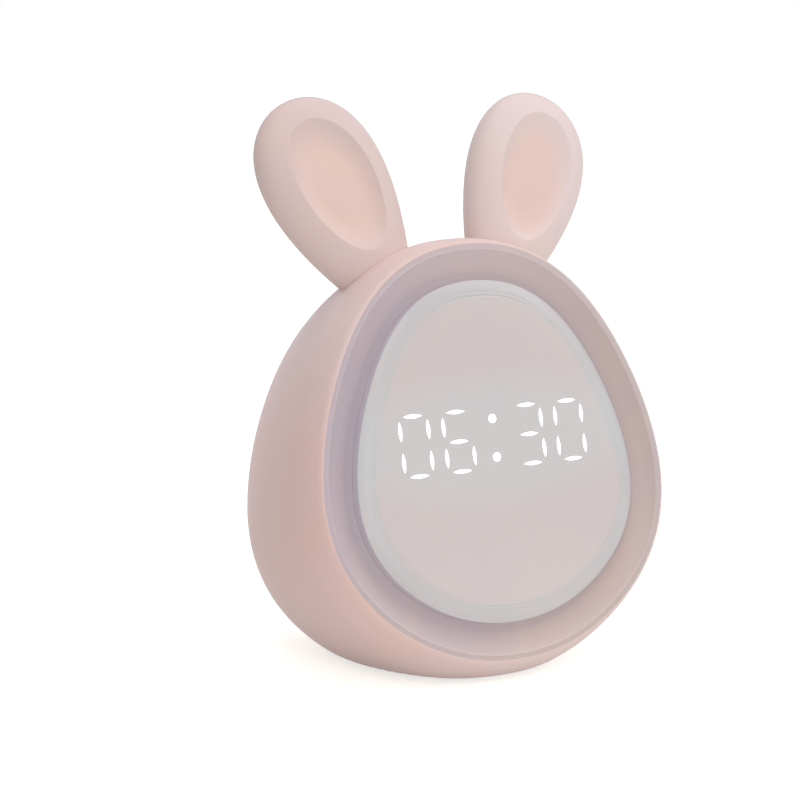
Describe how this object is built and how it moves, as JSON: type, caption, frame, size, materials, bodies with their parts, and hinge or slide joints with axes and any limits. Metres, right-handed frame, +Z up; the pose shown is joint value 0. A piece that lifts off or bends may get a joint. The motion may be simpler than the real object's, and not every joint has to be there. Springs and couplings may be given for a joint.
{
  "type": "kids alarm clock with night light",
  "caption": "Egg-shaped kids alarm clock that leans back on a flat base, with rabbit ears, a lit face in a concave ring, a night light, and keys, slide switch and charging socket at the back.",
  "frame": {"origin": "centre of the base pad's bottom face, on the table", "axes": "+Z up; -Y out of the front, the way the face looks; +X towards the right of the face as it is read"},
  "size_m": [0.1002, 0.0798, 0.138],
  "materials": {
    "pink_shell": "satin moulded ABS",
    "pink_ring": "satin moulded ABS",
    "milky_face": "milky translucent, semi-gloss",
    "digits": "lit white",
    "pad": "matt silicone",
    "white_plastic": "matt",
    "dark_plastic": "matt",
    "led": "clear resin over phosphor",
    "board": "solder mask on glass epoxy",
    "screw_steel": "zinc plated",
    "socket_steel": "nickel plated",
    "can_sleeve": "shrink sleeve",
    "cell_wrap": "shrink wrap",
    "lead_sleeve": "soft PVC",
    "ribbon": "flat flexible cable"
  },
  "bodies": {
    "clock_body": {"body_shell": "pink_shell", "front_bezel": "pink_ring", "face_panel": "milky_face", "base_pad": "pad", "ear_left": "pink_shell", "ear_left_back": "pink_shell", "ear_right": "pink_shell", "ear_right_back": "pink_shell", "ear_screws": "screw_steel", "rear_cover": "pink_shell", "rear_cover_screws": "screw_steel", "digit_block": "white_plastic", "segment_light_guides": "digits", "segment_leds": "led", "diffuser_sheet": "white_plastic", "night_light_leds": "led", "display_board": "board", "display_screws": "screw_steel", "main_board": "board", "main_board_screws": "screw_steel", "clock_chip": "dark_plastic", "clock_crystal": "socket_steel", "capacitors": "can_sleeve", "cable_connectors": "white_plastic", "display_cable": "ribbon", "tact_switches": "dark_plastic", "power_switch_body": "dark_plastic", "usb_socket": "socket_steel", "speaker_frame": "dark_plastic", "speaker_cone": "dark_plastic", "speaker_magnet": "screw_steel", "speaker_leads": "lead_sleeve", "battery_pack": "cell_wrap", "battery_cradle": "white_plastic", "battery_cradle_screws": "screw_steel", "battery_leads": "lead_sleeve"},
    "light_button": {"light_key": "pink_shell", "light_plunger": "white_plastic"},
    "mode_button": {"mode_key": "pink_shell", "mode_plunger": "white_plastic"},
    "up_button": {"up_key": "pink_shell", "up_plunger": "white_plastic"},
    "down_button": {"down_key": "pink_shell", "down_plunger": "white_plastic"},
    "alarm_button": {"alarm_key": "pink_shell", "alarm_plunger": "white_plastic"},
    "power_slider": {"power_switch_knob": "white_plastic"}
  },
  "joints": [
    {"name": "light_press", "type": "slide", "parent": "clock_body", "child": "light_button", "axis": [0, -0.9681, 0.2504], "range_m": [0, 0.0008], "stiffness_N_per_m": 600, "springref_m": -0.001},
    {"name": "mode_press", "type": "slide", "parent": "clock_body", "child": "mode_button", "axis": [0, -0.9681, 0.2504], "range_m": [0, 0.0008], "stiffness_N_per_m": 600, "springref_m": -0.001},
    {"name": "up_press", "type": "slide", "parent": "clock_body", "child": "up_button", "axis": [0, -0.9681, 0.2504], "range_m": [0, 0.0008], "stiffness_N_per_m": 600, "springref_m": -0.001},
    {"name": "down_press", "type": "slide", "parent": "clock_body", "child": "down_button", "axis": [0, -0.9681, 0.2504], "range_m": [0, 0.0008], "stiffness_N_per_m": 600, "springref_m": -0.001},
    {"name": "alarm_press", "type": "slide", "parent": "clock_body", "child": "alarm_button", "axis": [0, -0.9681, 0.2504], "range_m": [0, 0.0008], "stiffness_N_per_m": 600, "springref_m": -0.001},
    {"name": "power_slide", "type": "slide", "parent": "clock_body", "child": "power_slider", "axis": [0, -0.2504, -0.9681], "range_m": [0, 0.003]}
  ]
}
